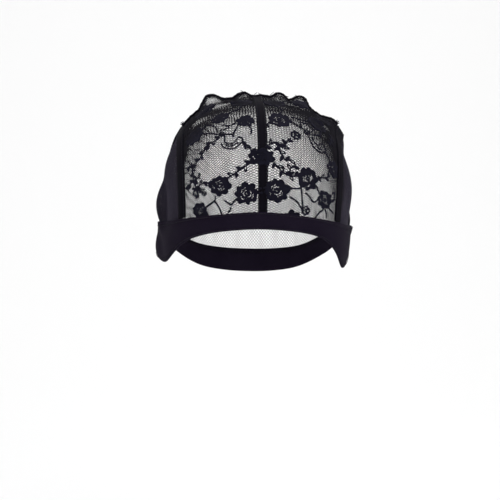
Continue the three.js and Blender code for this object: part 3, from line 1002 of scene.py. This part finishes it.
def ear_seam(side):
    def at(u, v):
        aside = between(-SIDE_TAPE_HALF, SIDE_TAPE_HALF, v)
        front = brow_alpha(side_seam(0.0) + aside, BUTT_GAP)
        nape = nape_alpha(NAPE_SEAM + aside, BUTT_GAP)
        alpha = between(front, nape, u)
        return heading(alpha, side * (side_seam(alpha) + aside))

    return at


def crown_line(u, v):
    alpha = CROWN_SEAM + between(-CROWN_TAPE_HALF, CROWN_TAPE_HALF, v)
    end = side_seam(alpha) - SIDE_TAPE_HALF - 2 * HALF_BUTT
    return heading(alpha, between(-end, end, u))


# node, directions, thickness, faces along, faces across, stitches in a row, stitch as a share
TAPES = [
    ("centre_tape", brow_seam, 0.75, 130, 10, 46, 0.013),
    ("side_tape_right", ear_seam(-1), 1.6, 260, 12, 96, 0.0062),
    ("side_tape_left", ear_seam(1), 1.6, 260, 12, 96, 0.0062),
    ("crown_tape", crown_line, 1.95, 220, 10, 46, 0.013),
]
TAPE_STITCH_LINES = (0.14, 0.86)
# thread ends left standing on the crown tape, in tufts at its two ends: place along it, lean as
# a share of it, length, radius
LOOSE_ENDS = [
    (0.002, -0.004, 1.7, 0.55),
    (0.009, -0.002, 2.1, 0.6),
    (0.016, 0.003, 1.5, 0.5),
    (0.41, -0.012, 1.3, 0.3),
    (0.475, 0.016, 1.9, 0.3),
    (0.505, -0.008, 1.5, 0.3),
    (0.565, 0.02, 1.8, 0.3),
    (0.66, 0.014, 1.3, 0.3),
    (0.715, -0.01, 1.6, 0.3),
    (0.984, -0.003, 1.5, 0.5),
    (0.991, 0.002, 2.1, 0.6),
    (0.998, 0.004, 1.7, 0.55),
]


def loose_end(at, place, lean, length, radius, lift):
    """A thread end that stands out from a strip and tapers."""
    t = np.linspace(0, 1, 8)[None]
    d = at(place + lean * t**2, 0.4 + 0.2 * t)
    outward = np.broadcast_to((0.0, -1.0, 0.0), d.shape)
    return closed_tubes(cloth(d, lift - 0.3 + length * t), outward, radius * (1 - t / 3), 5)


for node, at, thickness, columns, rows, stitches, share in TAPES:
    strip, flat = soft_strip(at, columns, rows, TAPE_INNER, thickness)
    tape = make_piece(node + "_woven", [strip], tape_weave, flat)
    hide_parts(node)
    rows_of_stitches = [
        stitch_row(at, v, stitches, share, TAPE_INNER + thickness * 0.9)
        for v in TAPE_STITCH_LINES
    ]
    if node == "crown_tape":
        rows_of_stitches += [loose_end(at, *end, TAPE_INNER + thickness) for end in LOOSE_ENDS]
    sewing = make_piece(node + "_stitches", rows_of_stitches, stitch_yarn)

# THE BANDS
# A broad band of ribbed stretch knit lies across the brow and dips to a tab before each ear. A
# second one runs round the nape, and the two are joined behind the ears. Both are turned in at
# their edges and sewn over the panels.
BAND_INNER = PANEL_THICKNESS + LAYER_GAP
BAND_THICKNESS = 2.0
BAND_JOINT = math.radians(101)
BAND_STITCH_LINES = (0.09, 0.9)

band_knit, band_tree, band_bump, band_yarn = cloth_material(
    "band_knit", (0.0082, 0.0056, 0.013), (0.036, 0.028, 0.048), 1500.0, 0.4, 0.009, 0.16
)
add_weave(band_tree, band_bump, band_yarn, 1.1, 0.8)


def brow_line(u, v):
    azimuth = between(-BAND_JOINT, BAND_JOINT, u)
    return rim_heading(azimuth, between(band_bottom(azimuth), band_top(azimuth), v))


def nape_line(u, v):
    joint = BAND_JOINT + BUTT_GAP / FORM_HALF_WIDTH
    turn = between(joint, 2 * math.pi - joint, u)
    azimuth = np.where(turn > math.pi, turn - 2 * math.pi, turn)
    return rim_heading(azimuth, between(band_bottom(azimuth), band_top(azimuth), v))


def ear_joint(side, turns=34, half_width=1.3):
    """A zigzag thread over the joint of the two bands behind an ear."""
    aside = half_width / FORM_HALF_WIDTH * np.where(np.arange(turns) % 2, 1, -1)
    azimuth = side * (BAND_JOINT + BUTT_GAP / FORM_HALF_WIDTH / 2 + aside)
    up = np.linspace(0.06, 0.94, turns)
    d = rim_heading(azimuth, between(band_bottom(azimuth), band_top(azimuth), up))[None]
    return closed_tubes(cloth(d, BAND_INNER + BAND_THICKNESS + 0.05), d, 0.3, 5)


# node, directions, faces along, faces across, stitches in a row, stitch as a share, flat cut
# in metres, share of the cut's rectangle, what it is sewn over
BANDS = [
    ("brow_band", brow_line, 300, 22, 120, 0.0062, (0.3, 0.046), 0.5, "front_lace"),
    ("nape_band", nape_line, 200, 16, 90, 0.0082, (0.24, 0.024), 0.75, "side_panel"),
]
for node, at, columns, rows, stitches, share, cut, cut_share, under in BANDS:
    strip, flat = soft_strip(at, columns, rows, BAND_INNER, BAND_THICKNESS)
    band = make_piece(node + "_knit", [strip], band_knit, flat)
    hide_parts(node)
    rows_of_stitches = [
        stitch_row(at, v, stitches, share, BAND_INNER + BAND_THICKNESS * 0.93)
        for v in BAND_STITCH_LINES
    ]
    if node == "nape_band":
        rows_of_stitches += [ear_joint(-1), ear_joint(1)]
    sewing = make_piece(node + "_stitches", rows_of_stitches, stitch_yarn)

# THE STUDIO
# A white sweep that runs from the floor up into a wall, soft lights, and a camera a little
# above the brow and to the wearer's right, as in the photograph.
FLOOR_HEIGHT = -0.42
SWEEP_START, SWEEP_RADIUS, SWEEP_HALF_WIDTH, SWEEP_TOP = 0.9, 0.7, 4.0, 3.0
FLOOR_FRONT = -3.5

bend = np.linspace(0, math.pi / 2, 24)
profile = [(FLOOR_FRONT, FLOOR_HEIGHT)]
profile += [
    (SWEEP_START + SWEEP_RADIUS * math.sin(t), FLOOR_HEIGHT + SWEEP_RADIUS * (1 - math.cos(t)))
    for t in bend
]
profile.append((SWEEP_START + SWEEP_RADIUS, SWEEP_TOP))
sweep_mesh = bpy.data.meshes.new("studio_sweep")
sweep_mesh.from_pydata(
    [(x, y, z) for y, z in profile for x in (-SWEEP_HALF_WIDTH, SWEEP_HALF_WIDTH)],
    [],
    [(2 * i, 2 * i + 1, 2 * i + 3, 2 * i + 2) for i in range(len(profile) - 1)],
)
sweep_mesh.polygons.foreach_set("use_smooth", [True] * len(sweep_mesh.polygons))
sweep_paper = bpy.data.materials.new("sweep_paper")
sweep_paper.use_nodes = True
paper_shader = sweep_paper.node_tree.nodes["Principled BSDF"]
paper_shader.inputs["Base Color"].default_value = (0.93, 0.93, 0.93, 1)
paper_shader.inputs["Roughness"].default_value = 0.9
sweep_mesh.materials.append(sweep_paper)
sweep = bpy.data.objects.new("studio_sweep", sweep_mesh)
bpy.context.scene.collection.objects.link(sweep)

world = bpy.data.worlds.new("studio_world")
bpy.context.scene.world = world
world.use_nodes = True
world.node_tree.nodes["Background"].inputs["Color"].default_value = (1, 1, 1, 1)
world.node_tree.nodes["Background"].inputs["Strength"].default_value = 0.6

# name, place, where it points, size, watts
SOFTBOXES = [
    ("key_softbox", (0.9, -1.6, 1.4), (0, 0, 0.02), 1.2, 13.0),
    ("fill_softbox", (-1.2, -1.5, 0.9), (0, 0, 0.02), 1.2, 1.5),
    ("top_softbox", (0.0, 0.2, 2.2), (0, 0.3, 0), 1.8, 12.0),
    ("wall_softbox", (0.0, 0.3, 1.5), (0, 1.6, 0.1), 1.6, 8.0),
]


def aim(obj, place, target, roll=0.0):
    """Puts an object at a place, looking at a target, turned about its view."""
    place, target = np.array(place), np.array(target)
    back = unit(place - target)
    right = unit(np.cross((0, 0, 1), back))
    up = np.cross(back, right)
    c, s = math.cos(roll), math.sin(roll)
    matrix = np.eye(4)
    matrix[:3, 0] = c * right + s * up
    matrix[:3, 1] = c * up - s * right
    matrix[:3, 2] = back
    matrix[:3, 3] = place
    obj.matrix_world = Matrix(matrix.tolist())


for name, place, target, size, watts in SOFTBOXES:
    light = bpy.data.lights.new(name, "AREA")
    light.shape = "SQUARE"
    light.size = size
    light.energy = watts
    lamp = bpy.data.objects.new(name, light)
    bpy.context.scene.collection.objects.link(lamp)
    aim(lamp, place, target)

CAMERA_ABOUT = np.array((0.0, 0.0, 0.03))
CAMERA_AIM = (-0.0032, 0.0, -0.0306)
CAMERA_AZIMUTH, CAMERA_ELEVATION = math.radians(-3.5), math.radians(6.0)
CAMERA_DISTANCE = 1.0
CAMERA_ROLL = math.radians(1.8)
CAMERA_LENS, CAMERA_SENSOR = 91.1, 36.0

camera_data = bpy.data.cameras.new("photo_camera")
camera_data.lens = CAMERA_LENS
camera_data.sensor_width = CAMERA_SENSOR
camera = bpy.data.objects.new("photo_camera", camera_data)
bpy.context.scene.collection.objects.link(camera)
level = math.cos(CAMERA_ELEVATION)
toward = (
    math.sin(CAMERA_AZIMUTH) * level,
    -math.cos(CAMERA_AZIMUTH) * level,
    math.sin(CAMERA_ELEVATION),
)
aim(camera, CAMERA_ABOUT + CAMERA_DISTANCE * np.array(toward), CAMERA_AIM, CAMERA_ROLL)
bpy.context.scene.camera = camera
bpy.context.scene.view_settings.view_transform = "Standard"
